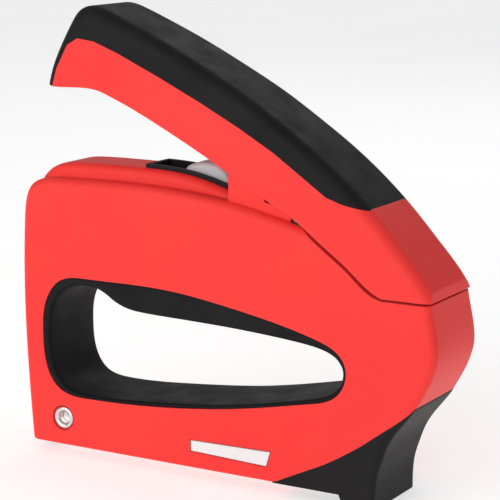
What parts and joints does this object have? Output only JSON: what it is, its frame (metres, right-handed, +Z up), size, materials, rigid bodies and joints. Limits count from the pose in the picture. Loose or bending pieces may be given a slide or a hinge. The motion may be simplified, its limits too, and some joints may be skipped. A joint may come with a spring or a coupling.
{
  "type": "hand staple gun",
  "caption": "Squeeze-handle hand staple gun with a finger opening, hinged lever, spring plunger and a slide-out magazine.",
  "frame": {"origin": "on the work plane, under the middle of the nose plate", "axes": "+X forward to the nose, +Y left, +Z up out of the work"},
  "size_m": [0.1486, 0.0304, 0.1465],
  "materials": {
    "red_plastic": "satin moulded ABS",
    "black_rubber": "soft-touch matt",
    "black_plastic": "fine texture",
    "grey_plastic": "satin",
    "white_plastic": "smooth film",
    "steel": "zinc plated"
  },
  "bodies": {
    "body": {"body_shell_left": "red_plastic", "body_shell_right": "red_plastic", "finger_liner": "black_rubber", "nose_guard": "black_plastic", "nose_plate": "steel", "drive_frame": "steel", "magazine_channel": "steel", "staple_strip": "steel", "heel_studs": "steel", "body_screws": "steel", "spring_seat": "steel", "bumper": "black_rubber", "lever_pivot_pin": "steel", "label_badge": "white_plastic", "lock_bezel": "black_plastic", "lever_return_spring": "steel", "drive_spring": "steel"},
    "lever": {"lever_shell": "red_plastic", "lever_grip": "black_rubber", "lever_arm": "steel", "lever_screws": "steel"},
    "plunger": {"plunger": "steel", "driver_blade": "steel", "lift_pin": "steel"},
    "magazine": {"magazine_rail": "steel", "magazine_cap": "black_plastic", "pusher_rod": "steel", "pusher_spring": "steel"},
    "pusher": {"pusher": "steel"},
    "lock": {"lock_button": "grey_plastic"}
  },
  "joints": [
    {"name": "lever_hinge", "type": "hinge", "parent": "body", "child": "lever", "pos_m": [-0.028, 0, 0.08], "axis": [0, -1, 0], "range_deg": [0, 19.5], "stiffness_Nm_per_rad": 0.9, "springref_deg": -20.05},
    {"name": "plunger_slide", "type": "slide", "parent": "body", "child": "plunger", "axis": [0, 0, 1], "range_m": [0, 0.01255], "deforming": ["drive_spring"]},
    {"name": "magazine_slide", "type": "slide", "parent": "body", "child": "magazine", "axis": [-1, 0, 0], "range_m": [0, 0.075]},
    {"name": "pusher_slide", "type": "slide", "parent": "magazine", "child": "pusher", "axis": [-1, 0, 0], "range_m": [0, 0.045], "stiffness_N_per_m": 60, "springref_m": -0.02, "deforming": ["pusher_spring"]},
    {"name": "lock_slide", "type": "slide", "parent": "body", "child": "lock", "axis": [-1, 0, 0], "range_m": [0, 0.01]}
  ],
  "couplings": [
    {"joint": "plunger_slide", "follows": "lever_hinge", "m_per_rad": 0.036555}
  ]
}
